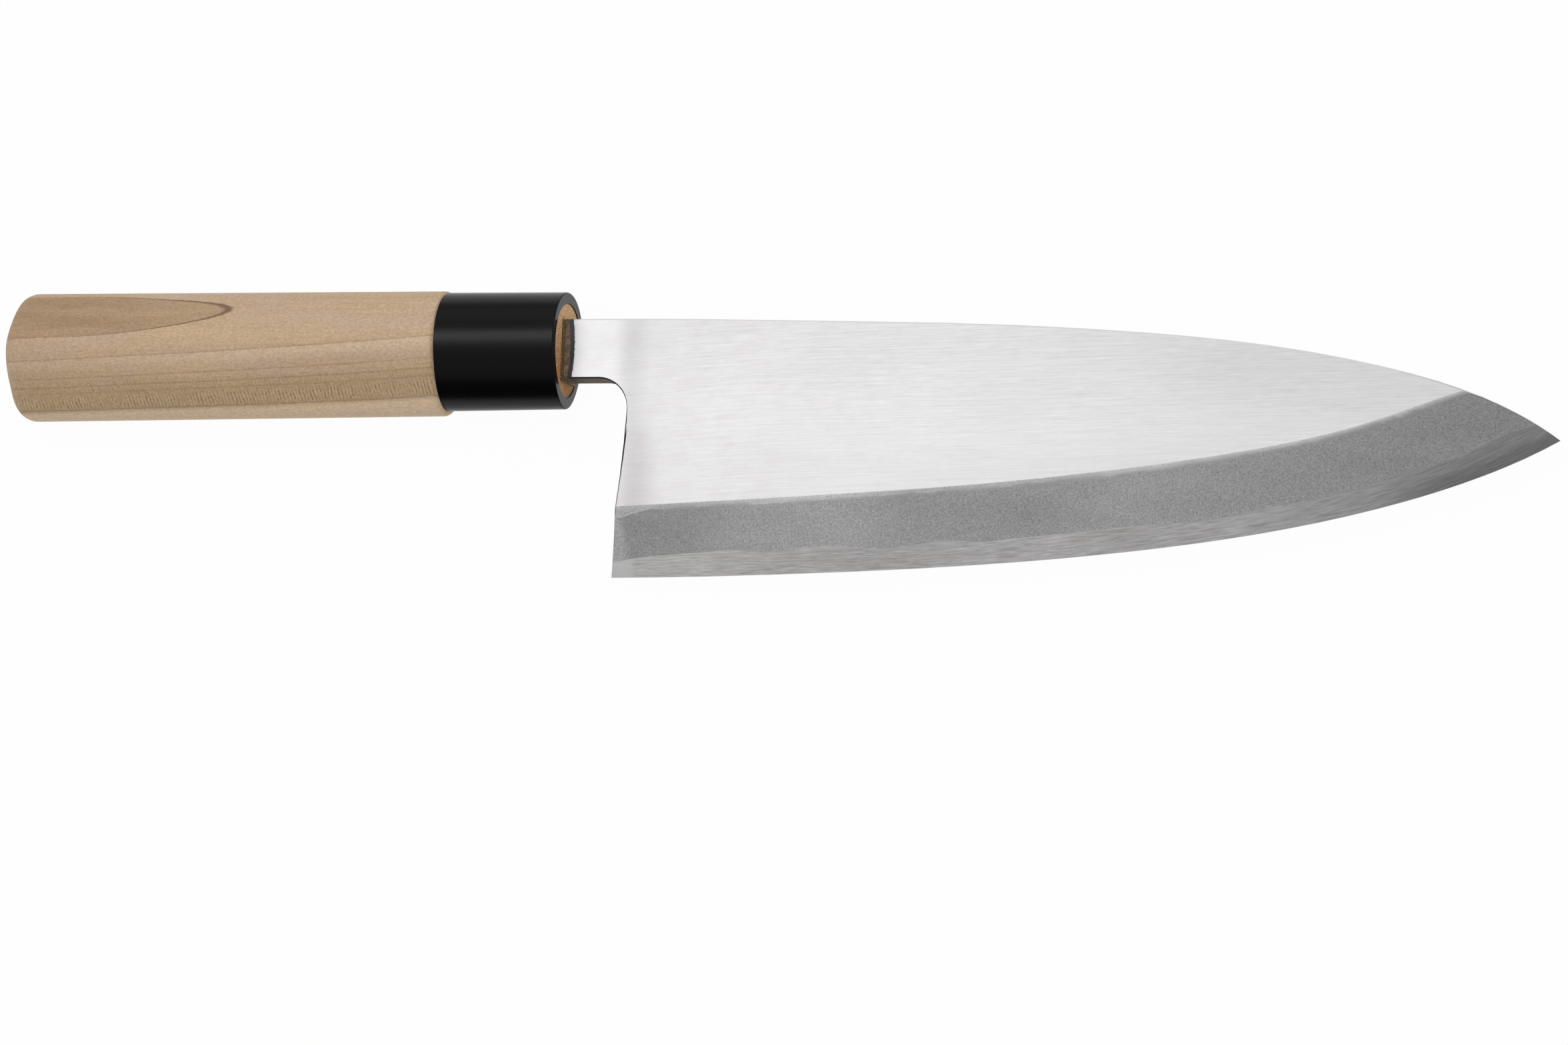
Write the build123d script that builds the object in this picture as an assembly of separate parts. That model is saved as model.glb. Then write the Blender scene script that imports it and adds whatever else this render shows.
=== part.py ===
from build123d import *
import math
import os

# A right-handed, single-bevel heavy kitchen knife, lying on its back face.
# +X runs to the tip, +Y to the spine and +Z out of the front face. Lengths are in millimetres.
# While the pieces are made, zero is on the handle's axis at the front face of the ferrule,
# and X is then the distance in front of the ferrule. At the end they move together, so that
# zero is under the middle of the whole knife.

# Blade outline. The spine is level with the top of the neck.
blade_length = 210.0
blade_depth = 57.35
heel_gap = 11.4
neck_height = 13.4
heel_lean = 4.15
heel_bow = 0.9
choil_radius = 6.8

# Blade thickness. The back lies this far behind the handle's axis, and the front flat is one
# plane that comes nearer to it towards the tip and towards the edge.
back_depth = 4.3
neck_thickness = 7.5
tip_thickness = 2.8
flat_thinning = 1.15
edge_land = 0.2
front_chamfer = 0.3

# Rows along the blade from heel to tip: place along it as a share of its length, height of the
# edge and of the spine above the heel corner as shares of its depth, and bevel angle in degrees.
outline_shares = (
    (0.00, 0.0000, 1.0000, 22.4),
    (0.12, 0.0088, 0.9948, 19.7),
    (0.25, 0.0262, 0.9844, 17.3),
    (0.40, 0.0562, 0.9696, 14.9),
    (0.55, 0.1043, 0.9387, 12.6),
    (0.70, 0.1800, 0.8821, 10.6),
    (0.82, 0.2745, 0.7993, 8.95),
    (0.91, 0.3759, 0.7004, 7.85),
    (0.96, 0.4500, 0.6172, 7.85),
    (1.00, 0.5243, 0.5243, 7.85),
)
# The ground bevel runs on past the heel and past the tip: place, height of the edge, angle.
bevel_start_shares = (-0.03, -0.0010, 23.2)
bevel_end_shares = (1.03, 0.5900, 7.85)

# Hollow ground into the back, with a flat rim left round it
hollow_depth = 0.5
hollow_edge_rim = 3.2
hollow_spine_rim = 4.4
# Closing rows at its two ends: place, height of its lower and upper side, share of its depth
hollow_heel_shares = (0.045, 0.13, 0.80, 0.3)
hollow_tip_shares = (0.945, 0.49, 0.59, 0.3)

# Hard steel welded under the soft iron. The weld wanders, so it is drawn as places along the
# blade and heights over the back, as shares of the blade's length and of the steel's thickness.
steel_thickness = 1.95
steel_setback = 0.5
weld_shares = (
    (0.045, 1.00),
    (0.100, 1.06),
    (0.148, 1.05),
    (0.172, 0.94),
    (0.198, 0.96),
    (0.220, 1.04),
    (0.260, 0.94),
    (0.300, 0.82),
    (0.345, 0.87),
    (0.373, 0.88),
    (0.395, 0.78),
    (0.430, 0.75),
    (0.535, 0.71),
    (0.580, 0.67),
    (0.650, 0.56),
    (0.706, 0.60),
    (0.750, 0.545),
    (0.830, 0.56),
    (0.875, 0.52),
    (0.905, 0.50),
    (0.935, 0.57),
    (0.975, 0.52),
    (1.030, 0.48),
)
weld_heel_share = 0.76

# Tang, inside the handle
tang_length = 95.0
tang_end_height = 5.5
tang_end_thickness = 3.4
bedding_gap = 0.55
bead_proud = 0.35

# Handle, from the front face of the ferrule to the butt
handle_length = 134.2
handle_drop = 0.37
butt_half_height = 14.9
butt_half_thickness = 12.6
butt_rim_radius = 4.0
lip_radius = 1.2
rim_steps = 6
# At the joint the wood stands proud of the ferrule by this much.
joint_proud_height = 0.75
joint_proud_thickness = 1.35
# Section of the handle, a soft D: up and out, as shares of half its height and thickness, from
# the top round the front to the bottom and back
handle_shares = (
    (1.00, 0.00),
    (0.98, 0.18),
    (0.91, 0.39),
    (0.72, 0.64),
    (0.42, 0.87),
    (0.12, 1.00),
    (-0.18, 0.96),
    (-0.42, 0.83),
    (-0.63, 0.66),
    (-0.82, 0.49),
    (-0.93, 0.33),
    (-0.985, 0.17),
    (-1.00, 0.00),
    (-0.92, -0.39),
    (-0.71, -0.70),
    (-0.38, -0.92),
    (0.00, -1.00),
    (0.38, -0.92),
    (0.71, -0.70),
    (0.92, -0.39),
)

# Tenon of the handle, with this much wood left round the slot for the tang
tenon_wood = 3.33
tenon_setback = 0.25

# Ferrule round the tenon. It widens a little towards the handle.
ferrule_length = 28.3
ferrule_edge_wall = 2.5
ferrule_side_wall = 1.65
ferrule_flare_height = 0.25
ferrule_flare_thickness = 0.4
ferrule_rim_radius = 0.35
glue_gap = 0.12
# Section of the ferrule and tenon, an oval that is wider by this share at the spine's side
ferrule_swell = 0.12
ferrule_step = 22.5
ferrule_angles = [math.radians(ferrule_step * step) for step in range(16)]
ferrule_shares = [
    (math.cos(angle), math.sin(angle) * (1 + ferrule_swell * math.cos(angle)))
    for angle in ferrule_angles
]

# Every cutting shape runs past what it cuts by this much
overrun = 4.0

spine_height = neck_height / 2
heel_height = spine_height - blade_depth
knife_reach = heel_gap + blade_length
flat_taper = (neck_thickness - tip_thickness) / knife_reach
flat_lean = flat_thinning / blade_depth
neck_reach = max(back_depth, neck_thickness - back_depth)
tenon_half_height = neck_height / 2 + bedding_gap + tenon_wood
tenon_half_thickness = neck_reach + bedding_gap + tenon_wood
bore_half_height = tenon_half_height + glue_gap
bore_half_thickness = tenon_half_thickness + glue_gap
ferrule_half_height = bore_half_height + ferrule_edge_wall
ferrule_half_thickness = bore_half_thickness + ferrule_side_wall
ferrule_back_half_height = ferrule_half_height + ferrule_flare_height
ferrule_back_half_thickness = ferrule_half_thickness + ferrule_flare_thickness
joint_half_height = ferrule_back_half_height + joint_proud_height
joint_half_thickness = ferrule_back_half_thickness + joint_proud_thickness


def along_blade(share):
    return heel_gap + share * blade_length


def up_blade(share):
    return heel_height + share * blade_depth


def flat_height(x, y):
    """Height of the front flat's plane over the handle's axis."""
    return neck_thickness - back_depth - flat_taper * x - flat_lean * (spine_height - y)


def section(x, points):
    """Face across the knife at x, with straight sides through (y, z) points."""
    corners = [Vector(x, y, z) for y, z in points]
    return Face(Wire.make_polygon(corners, close=True))


def oval(x, shares, half_height, half_thickness, centre):
    """Face across the knife at x, with a smooth outline through shares of its half sizes."""
    points = [
        Vector(x, centre + up * half_height, out * half_thickness) for up, out in shares
    ]
    lowest = shares.index(min(shares))
    outward = Vector(0, 0, 1)
    inward = Vector(0, 0, -1)
    front = Edge.make_spline(points[: lowest + 1], tangents=(outward, inward), scale=False)
    back = Edge.make_spline(
        points[lowest:] + points[:1], tangents=(inward, outward), scale=False
    )
    return Face(Wire([front, back]))


def bar(face, length):
    """Solid drawn from a cross face towards the butt."""
    return extrude(face, amount=length, dir=(-1, 0, 0))


def outline_face():
    """Blade and neck as seen from the front, in the plane of the back."""
    spine = [(0, spine_height)]
    spine += [(along_blade(row[0]), up_blade(row[2])) for row in outline_shares]
    edge = [(along_blade(row[0]), up_blade(row[1])) for row in outline_shares]
    neck_foot = (0, -spine_height)
    heel_top = (heel_gap + heel_lean, -spine_height)
    heel_foot = edge[0]
    heel_middle = (
        (heel_top[0] + heel_foot[0]) / 2 + heel_bow,
        (heel_top[1] + heel_foot[1]) / 2,
    )
    lines = [
        Spline(*spine),
        Spline(*reversed(edge)),
        ThreePointArc(heel_foot, heel_middle, heel_top),
        Line(heel_top, neck_foot),
        Line(neck_foot, (0, spine_height)),
    ]
    face = make_face(lines)
    corner = face.vertices().sort_by_distance((*heel_top, 0))[0]
    return fillet(corner, choil_radius)


def bevel_cutter():
    """Everything in front of the ground bevel, drawn through one triangle for each row."""
    top = neck_thickness - back_depth + overrun
    rows = [bevel_start_shares]
    rows += [(row[0], row[1], row[3]) for row in outline_shares]
    rows += [bevel_end_shares]
    faces = []
    for place, rise, angle in rows:
        slope = math.tan(math.radians(angle))
        foot = up_blade(rise)
        land = edge_land - back_depth
        low = (foot - overrun, land - slope * overrun)
        high = (foot + (top - land) / slope, top)
        faces.append(section(along_blade(place), [low, high, (low[0], top)]))
    return loft(faces)


def hollow_row(place, lower, upper, depth):
    """Cross face of the hollow: a shallow arc over the back, closed behind it."""
    x = along_blade(place)
    back = -back_depth
    behind = back - overrun
    low = Vector(x, lower, back)
    high = Vector(x, upper, back)
    middle = Vector(x, (lower + upper) / 2, back + depth)
    low_behind = Vector(x, lower, behind)
    high_behind = Vector(x, upper, behind)
    edges = [
        Edge.make_three_point_arc(low, middle, high),
        Edge.make_line(high, high_behind),
        Edge.make_line(high_behind, low_behind),
        Edge.make_line(low_behind, low),
    ]
    return Face(Wire(edges))


def hollow_cutter():
    """The shallow hollow of the back, between its two closing rows."""
    place, lower, upper, depth = hollow_heel_shares
    faces = [hollow_row(place, up_blade(lower), up_blade(upper), depth * hollow_depth)]
    for place, edge, spine, angle in outline_shares:
        if hollow_heel_shares[0] < place < hollow_tip_shares[0]:
            lower = up_blade(edge) + hollow_edge_rim
            upper = up_blade(spine) - hollow_spine_rim
            faces.append(hollow_row(place, lower, upper, hollow_depth))
    place, lower, upper, depth = hollow_tip_shares
    faces.append(hollow_row(place, up_blade(lower), up_blade(upper), depth * hollow_depth))
    return loft(faces)


def ground_blade():
    """Blade and neck in one, before they are parted along the weld."""
    blank = extrude(outline_face(), amount=neck_thickness + overrun)
    blank = Pos(0, 0, -back_depth) * blank
    flat = Plane(origin=(0, 0, flat_height(0, 0)), z_dir=(flat_taper, -flat_lean, 1))
    blank = split(blank, bisect_by=flat, keep=Keep.BOTTOM)
    front = blank.faces().sort_by(Axis.Z)[-1]
    all_but_neck_end = front.edges().sort_by(Axis.X)[1:]
    blank = chamfer(all_but_neck_end, length=front_chamfer)
    return blank - bevel_cutter() - hollow_cutter()


def steel_region():
    """All that lies behind the weld, from just short of the heel to past the tip."""
    start = heel_gap - steel_setback
    back = -back_depth
    behind = back - overrun
    line = [Vector(start, 0, back + weld_heel_share * steel_thickness)]
    line += [
        Vector(along_blade(place), 0, back + rise * steel_thickness) for place, rise in weld_shares
    ]
    edges = [
        Edge.make_spline(line),
        Edge.make_line(line[-1], Vector(line[-1].X, 0, behind)),
        Edge.make_line(Vector(line[-1].X, 0, behind), Vector(start, 0, behind)),
        Edge.make_line(Vector(start, 0, behind), line[0]),
    ]
    face = Face(Wire(edges))
    return extrude(face, amount=blade_depth + overrun, dir=(0, 1, 0), both=True)


def tang_section(x, share, gap):
    """Cross face of the tang: share 0 is the neck at the ferrule and share 1 the tang's end."""
    half = (1 - share) * neck_height / 2 + share * tang_end_height / 2
    back = -(1 - share) * back_depth - share * tang_end_thickness / 2
    above = (1 - share) * flat_height(0, half) + share * tang_end_thickness / 2
    below = (1 - share) * flat_height(0, -half) + share * tang_end_thickness / 2
    return section(
        x,
        [
            (-half - gap, back - gap),
            (half + gap, back - gap),
            (half + gap, above + gap),
            (-half - gap, below + gap),
        ],
    )


def tang():
    return loft([tang_section(0, 0, 0), tang_section(-tang_length, 1, 0)], ruled=True)


def tang_bore():
    """Slot burned into the handle, wider than the tang all round."""
    mouth = tang_section(0, 0, bedding_gap)
    end = tang_section(-tang_length - bedding_gap, 1, bedding_gap)
    return loft([mouth, end], ruled=True)


def blade_iron():
    return ground_blade() - steel_region() + tang()


def edge_steel():
    return ground_blade() & steel_region()


def rounded_end(x, inward, radius, shares, half_height, half_thickness, centre):
    """Rounded rim behind an end face at x, drawn along a quarter circle, and its last section."""
    faces = []
    for step in range(rim_steps + 1):
        angle = math.radians(90 * step / rim_steps)
        inset = radius * (1 - math.sin(angle))
        place = x + inward * radius * (1 - math.cos(angle))
        faces.append(oval(place, shares, half_height - inset, half_thickness - inset, centre))
    return loft(faces), faces[-1]


def tenon():
    """Tongue of the handle that runs through the ferrule."""
    nose = oval(-tenon_setback, ferrule_shares, tenon_half_height, tenon_half_thickness, 0)
    return bar(nose, ferrule_length - tenon_setback)


def handle_wood():
    """Grip with rounded ends, and its tenon."""
    butt, butt_section = rounded_end(
        -handle_length,
        1,
        butt_rim_radius,
        handle_shares,
        butt_half_height,
        butt_half_thickness,
        -handle_drop,
    )
    lip, lip_section = rounded_end(
        -ferrule_length,
        -1,
        lip_radius,
        handle_shares,
        joint_half_height,
        joint_half_thickness,
        -handle_drop,
    )
    grip = loft([butt_section, lip_section], ruled=True)
    return butt + grip + lip + tenon() - tang_bore()


def ferrule():
    """Plain black collar that widens a little towards the handle, bored for the tenon."""
    rim, rim_section = rounded_end(
        0,
        -1,
        ferrule_rim_radius,
        ferrule_shares,
        ferrule_half_height,
        ferrule_half_thickness,
        0,
    )
    back = oval(
        -ferrule_length, ferrule_shares, ferrule_back_half_height, ferrule_back_half_thickness, 0
    )
    return rim + loft([rim_section, back], ruled=True) - ferrule_bore(0)


def ferrule_bore(setback):
    """Bore of the ferrule, from a setback behind its front face to its back."""
    mouth = oval(-setback, ferrule_shares, bore_half_height, bore_half_thickness, 0)
    return bar(mouth, ferrule_length - setback)


def ferrule_glue():
    """Film that fills the gap between tenon and ferrule."""
    return ferrule_bore(tenon_setback) - tenon()


def tang_bedding():
    """Resin round the tang, with a bead standing proud round the neck."""
    bead = bar(tang_section(bead_proud, 0, bedding_gap), bead_proud)
    return bead + tang_bore() - blade_iron()


pieces = {
    "blade_iron": blade_iron(),
    "edge_steel": edge_steel(),
    "tang_bedding": tang_bedding(),
    "handle_wood": handle_wood(),
    "ferrule_glue": ferrule_glue(),
    "ferrule": ferrule(),
}

box = Compound(children=[Compound(piece.solids()) for piece in pieces.values()]).bounding_box()
to_origin = Pos(-(box.min.X + box.max.X) / 2, -(box.min.Y + box.max.Y) / 2, -box.min.Z)

os.makedirs("parts", exist_ok=True)
for name, piece in pieces.items():
    export_step(Compound(label=name, children=(to_origin * piece).solids()), f"parts/{name}.step")
print("knife size", box.size, "moved by", to_origin.position)
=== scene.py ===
import bpy
import math
from mathutils import Matrix, Vector


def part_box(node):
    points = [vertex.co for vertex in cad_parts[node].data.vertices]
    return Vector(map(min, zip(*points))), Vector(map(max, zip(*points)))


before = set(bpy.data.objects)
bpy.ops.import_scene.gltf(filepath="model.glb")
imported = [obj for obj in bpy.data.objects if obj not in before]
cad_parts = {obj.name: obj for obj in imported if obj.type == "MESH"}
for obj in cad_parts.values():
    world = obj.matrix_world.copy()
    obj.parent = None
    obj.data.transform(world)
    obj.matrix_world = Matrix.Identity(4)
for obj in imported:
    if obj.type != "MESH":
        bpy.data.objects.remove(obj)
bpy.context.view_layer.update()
print("frame loaded")

# The finishes measure in millimetres from home, the middle of the ferrule's front face:
# x towards the tip, y towards the spine, z to the front. The studio measures in metres.
perMetre = 1000
backDepth = 0.0043  # metres from the handle's axis back to the blade's back
ferruleLow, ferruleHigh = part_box("ferrule")
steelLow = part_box("edge_steel")[0]
home = Vector((ferruleHigh.x, (ferruleLow.y + ferruleHigh.y) / 2, steelLow.z + backDepth))


# helpers for the finishes

def tone(red, green, blue):
    # a colour as it is read off a screen, 0 to 255, taken through the screen's usual curve
    shares = [value / 255 for value in (red, green, blue)]
    return tuple(s / 12.92 if s <= 0.04045 else ((s + 0.055) / 1.055) ** 2.4 for s in shares) + (1.0,)


def startFinish(name):
    made = bpy.data.materials.new(name)
    made.use_nodes = True
    tree = made.node_tree
    tree.nodes.clear()
    out = tree.nodes.new("ShaderNodeOutputMaterial")
    shader = tree.nodes.new("ShaderNodeBsdfPrincipled")
    tree.links.new(shader.outputs["BSDF"], out.inputs["Surface"])
    return made, tree, shader


def feed(tree, socket, value):
    if isinstance(value, bpy.types.NodeSocket):
        tree.links.new(value, socket)
    else:
        socket.default_value = value


def calc(tree, work, first, second=0.0):
    node = tree.nodes.new("ShaderNodeMath")
    node.operation = work
    feed(tree, node.inputs[0], first)
    feed(tree, node.inputs[1], second)
    return node.outputs[0]


def plus(tree, *values):
    total = values[0]
    for value in values[1:]:
        total = calc(tree, "ADD", total, value)
    return total


def minus(tree, first, second):
    return calc(tree, "SUBTRACT", first, second)


def times(tree, *values):
    total = values[0]
    for value in values[1:]:
        total = calc(tree, "MULTIPLY", total, value)
    return total


def larger(tree, first, second):
    return calc(tree, "MAXIMUM", first, second)


def fade(tree, value, start, end, low=0.0, high=1.0):
    # low before start, high after end, smooth between; start may be the larger
    node = tree.nodes.new("ShaderNodeMapRange")
    node.interpolation_type = "SMOOTHSTEP"
    flip = start > end
    feed(tree, node.inputs["Value"], value)
    node.inputs["From Min"].default_value = end if flip else start
    node.inputs["From Max"].default_value = start if flip else end
    node.inputs["To Min"].default_value = high if flip else low
    node.inputs["To Max"].default_value = low if flip else high
    return node.outputs["Result"]


def hump(tree, value, middle, halfWidth, soft):
    # 1 round the middle, 0 outside
    away = calc(tree, "ABSOLUTE", minus(tree, value, middle))
    return fade(tree, away, halfWidth + soft, halfWidth)


def easedTo(tree, share, factor):
    # 1 where the share is 0, the factor where it is 1
    return fade(tree, share, 0.0, 1.0, 1.0, factor)


def centred(tree, noise):
    # noise runs round a half, this runs round 0
    return plus(tree, noise, -0.5)


def varied(tree, middle, noise, spread):
    # noise turned into a number that varies round the middle
    return plus(tree, middle - spread / 2, times(tree, noise, spread))


def around(tree, noise, spread):
    # noise turned into a factor that varies round 1
    return varied(tree, 1.0, noise, spread)


def mixTone(tree, share, under, over, how="MIX"):
    # inputs 6 and 7 and output 2 are the node's sockets for colours
    node = tree.nodes.new("ShaderNodeMix")
    node.data_type = "RGBA"
    node.blend_type = how
    node.clamp_factor = True
    feed(tree, node.inputs["Factor"], share)
    feed(tree, node.inputs[6], under)
    feed(tree, node.inputs[7], over)
    return node.outputs[2]


def mixNumber(tree, share, under, over):
    # inputs 0, 2 and 3 and output 0 are the node's sockets for plain numbers
    node = tree.nodes.new("ShaderNodeMix")
    node.data_type = "FLOAT"
    feed(tree, node.inputs[0], share)
    feed(tree, node.inputs[2], under)
    feed(tree, node.inputs[3], over)
    return node.outputs[0]


def dimmed(tree, colour, factor):
    # a colour times a number, which goes in as a grey
    grey = tree.nodes.new("ShaderNodeCombineColor")
    for socket in grey.inputs:
        feed(tree, socket, factor)
    return mixTone(tree, 1.0, colour, grey.outputs[0], "MULTIPLY")


def tinted(tree, colour, tint):
    return mixTone(tree, 1.0, colour, tint, "MULTIPLY")


def place(tree):
    # position in millimetres from home, whole and split
    where = tree.nodes.new("ShaderNodeTexCoord")
    shift = tree.nodes.new("ShaderNodeMapping")
    shift.inputs["Location"].default_value = home * -perMetre
    shift.inputs["Scale"].default_value = (perMetre, perMetre, perMetre)
    tree.links.new(where.outputs["Object"], shift.inputs["Vector"])
    split = tree.nodes.new("ShaderNodeSeparateXYZ")
    tree.links.new(shift.outputs[0], split.inputs[0])
    return shift.outputs[0], split.outputs[0], split.outputs[1], split.outputs[2]


def facing(tree):
    # the way a face looks, split
    where = tree.nodes.new("ShaderNodeTexCoord")
    split = tree.nodes.new("ShaderNodeSeparateXYZ")
    tree.links.new(where.outputs["Normal"], split.inputs[0])
    return split.outputs[0], split.outputs[1], split.outputs[2]


def inPlane(tree, first, second):
    # a place for noise to be read at, made of two numbers
    node = tree.nodes.new("ShaderNodeCombineXYZ")
    feed(tree, node.inputs[0], first)
    feed(tree, node.inputs[1], second)
    return node.outputs[0]


def grain(tree, spot, lengths, detail, rough, turn=0.0):
    # noise whose cells are these many millimetres long; turn in degrees about Z
    stretch = tree.nodes.new("ShaderNodeMapping")
    stretch.vector_type = "TEXTURE"
    stretch.inputs["Rotation"].default_value = (0, 0, math.radians(turn))
    stretch.inputs["Scale"].default_value = lengths
    feed(tree, stretch.inputs["Vector"], spot)
    noise = tree.nodes.new("ShaderNodeTexNoise")
    noise.inputs["Scale"].default_value = 1.0
    noise.inputs["Detail"].default_value = detail
    noise.inputs["Roughness"].default_value = rough
    tree.links.new(stretch.outputs[0], noise.inputs["Vector"])
    return noise.outputs["Fac"]


def patches(tree, spot, noise, limits):
    # soft-edged patches where the noise rises past the limits
    return fade(tree, grain(tree, spot, *noise), *limits)


def relief(tree, height, depth):
    # height 0 to 1 stands for this many millimetres
    node = tree.nodes.new("ShaderNodeBump")
    node.inputs["Strength"].default_value = 1.0
    node.inputs["Distance"].default_value = depth / perMetre
    feed(tree, node.inputs["Height"], height)
    return node.outputs[0]


def dress(nodeName, made):
    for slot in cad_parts[nodeName].material_slots:
        slot.material = made


# How the dictionaries below are read. A noise is the lengths of its cells, its detail, its
# roughness and, if it is turned, its turn, as grain takes them. A ramp is where it starts and
# ends and, unless those are 0 and 1, its values there, as fade takes them: it runs with x if its
# name ends in Along, with y if in Down, and with the way a face looks if in Faces. A hump is its
# middle, its half width and its soft edge.

# the blade: what its two pieces have in common

bladeLooks = {
    # the flat is one plane: height at home, fall to the tip, fall to the edge
    "flatPlane": (3.057, -0.0209, 0.01993),
    # how fast the bevel drops below that plane at home, and its change along the blade
    "bevelDrop": (0.445, -0.00148),
    "sideFaces": (0.80, 0.70),
    "scaleBrown": tone(148, 131, 108),
    "scaleDark": tone(108, 94, 76),
    "scaleLimits": (0.42, 0.60),
}


def belowShoulder(tree, x, y, z):
    # millimetres below the line where the flat meets the bevel
    plane, fall, lean = bladeLooks["flatPlane"]
    drop, change = bladeLooks["bevelDrop"]
    sunk = minus(tree, plus(tree, plane, times(tree, x, fall), times(tree, y, lean)), z)
    return calc(tree, "DIVIDE", sunk, plus(tree, drop, times(tree, x, change)))


def sideways(tree, nz):
    # 1 on faces that look neither to the front nor to the back
    return fade(tree, calc(tree, "ABSOLUTE", nz), *bladeLooks["sideFaces"])


def scaleTone(tree, noise):
    looks = bladeLooks
    return mixTone(tree, fade(tree, noise, *looks["scaleLimits"]), looks["scaleBrown"], looks["scaleDark"])


# soft iron: brushed flat, blasted bevel, scale and heat colours where it enters the handle

ironLooks = {
    "frontFaces": (0.80, 0.86),
    "bevelFaces": (-0.055, -0.085),

    "flat": tone(194, 194, 194),
    "flatRoughness": 0.40,
    "flatRoughnessSpread": 0.10,
    # brush strokes climb towards the tip up to this place, by this much times the way squared
    "strokeClimb": (60.0, 0.00075),
    "shortStrokes": ((5.0, 0.28, 1.0), 2, 0.65, 2.6),
    "longStrokes": ((26.0, 0.38, 1.0), 2, 0.6, 1.6),
    "strokeShares": (0.52, 0.48),
    "strokesAlong": (9, 36, 0.45, 1.0),
    "strokesDown": (-6, -28, 0.90, 0.60),
    "cloud": ((30, 12, 12), 2, 0.5),
    "cloudSpread": 0.10,
    # painted light and shade along the flat: brighter at the neck, darker towards the tip
    "flatLightAlong": ((11, 17, 1.04, 0.94), (60, 200, 1.0, 0.91)),
    # painted light: the flat brighter lower down, towards the bevel
    "flatLightDown": (4, -22, 1.0, 1.12),
    # a soft band of painted shade beside the heel, which leans away from it downwards
    "shadeBandDown": (-8, -26, 0.0, -2.2),
    "shadeBandAlong": ((11.6, 15.4), (22.0, 15.8)),
    "bandShade": -0.115,
    # painted shade: the flat is a little darker towards the spine in its front half
    "spineShadeAlong": (118, 168),
    "spineShadeDown": (-24, -7),
    "spineShadeDepth": 0.95,
    "warm": tone(253, 249, 252),
    "warmPatches": (((5, 3, 3), 3, 0.6), (0.45, 0.65)),
    "warmAlong": (110, 20),
    # a painted shade beside the heel, tinted mauve-grey, stronger lower down
    "mauveShade": tone(244, 241, 243),
    "mauveHump": (16, 1, 9),
    "mauveDown": (-10, -30),

    "bevel": tone(194, 194, 194),
    # painted shade: the bevel darkens towards the tip
    "bevelShadedTip": tone(159, 159, 159),
    "bevelLight": tone(238, 237, 237),
    "bevelBright": tone(244, 244, 244),
    "bevelMetal": 0.8,
    "bevelRoughness": 0.62,
    "bevelAlong": (90, 222),
    # places along the bevel that are brighter or darker, and how much
    "bevelHumps": (((52, 6, 26), 1.12), ((98, 6, 30), 0.92)),
    "speck": ((0.40, 0.36, 0.36), 2, 0.75),
    "speckSpread": 1.40,
    "patch": ((24, 6, 6), 3, 0.6),
    "patchSpread": 0.30,
    "sparkles": (((0.30, 0.26, 0.26), 1, 0.5), (0.66, 0.76)),
    "sparkleShare": 0.16,
    # the pale border under the shoulder: its least width, how far it wanders and frays
    "borderWidth": 0.22,
    "borderWander": 1.1,
    "borderFray": 2.4,
    "borderEdge": (0.5, -0.6),
    "borderShare": 0.85,
    "wander": ((7, 3, 3), 3, 0.6),
    # the bright broken line along the border's foot
    "footHump": (0.0, 0.04, 0.14),
    "footPatches": (((9, 9, 9), 2, 0.6), (0.48, 0.58)),
    "footAlong": (150, 110),
    "footShare": 0.5,
    # the wedge at the heel: its depth at the heel's foot, where that is, its slope and its wander
    "wedge": (2.3, 13.3, -0.2, 0.5),
    "wedgeEdge": (0.15, -0.15),
    "wedgeAlong": (26, 20),
    "wedgeShare": 0.55,
    "wedgeHump": (0.0, 0.06, 0.14),
    "wedgeLineShare": 0.7,
    # the pale strip up the bevel's rear end
    "stripWander": 2.0,
    "stripAlong": (17.4, 14.8),
    "stripShare": 0.55,

    "scaleGrain": ((1.3, 1.1, 1.1), 4, 0.65),
    "scaleFine": ((0.32, 0.32, 0.32), 3, 0.6),
    "scaleSpread": 0.7,
    "scaleMetal": 0.15,
    "scaleRoughness": 0.66,
    "rust": tone(128, 84, 58),
    "rustPatches": (((1.0, 0.8, 0.8), 3, 0.6, 30), (0.56, 0.66)),
    "rustShare": 0.7,
    "underNeck": tone(164, 144, 123),
    "underFaces": (0.55, 0.35),

    "chamferHump": (0.54, 0.26, 0.08),
    # a painted highlight on the spine's chamfer
    "spineHighlight": tone(236, 236, 237),
    "spineFaces": (0.3, 0.5),
    "spineAlong": (198, 184, 0.5, 1.0),
    # the painted shadow round the choil and down the heel
    "heelShadowTone": tone(12, 11, 11),
    "heelFaces": (-0.2, -0.4),
    # the painted shadow line down the heel: its place level with home, its lean and its curve
    "heelLine": (16.686, 0.0456, -0.00109),
    "heelLineEdge": (0.28, 0.12),
    "heelLineTop": (-17, -20),
    "heelLineFoot": (-37.6, -36.8),
    "heelLineDown": (-24, -32, 1.0, 0.6),

    # how far the heat colours reach from the handle, and their curve with the height
    "heatReach": (2.75, -0.012),
    "heatWander": ((2.2, 1.2, 2.2), 3, 0.6),
    "heatSwing": 0.7,
    "violetEdge": (-0.12, 0.12),
    "violetSpread": 0.6,
    "redEdge": (0.85, 1.10),
    "brownEdge": (1.15, 1.50),
    "heatBlack": tone(64, 63, 67),
    "heatBlue": tone(78, 77, 99),
    "heatBlueDown": (-1, 6),
    "heatRed": tone(116, 94, 82),
    "burntFaces": (0.3, 0.5, 1.0, 0.35),

    # how high strokes, blasting and scale stand, and the depth of them all in millimetres
    "strokeHeight": 0.25,
    "blastHeight": 1.1,
    "scaleHeight": 2.2,
    "reliefDepth": 0.02,
}


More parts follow.
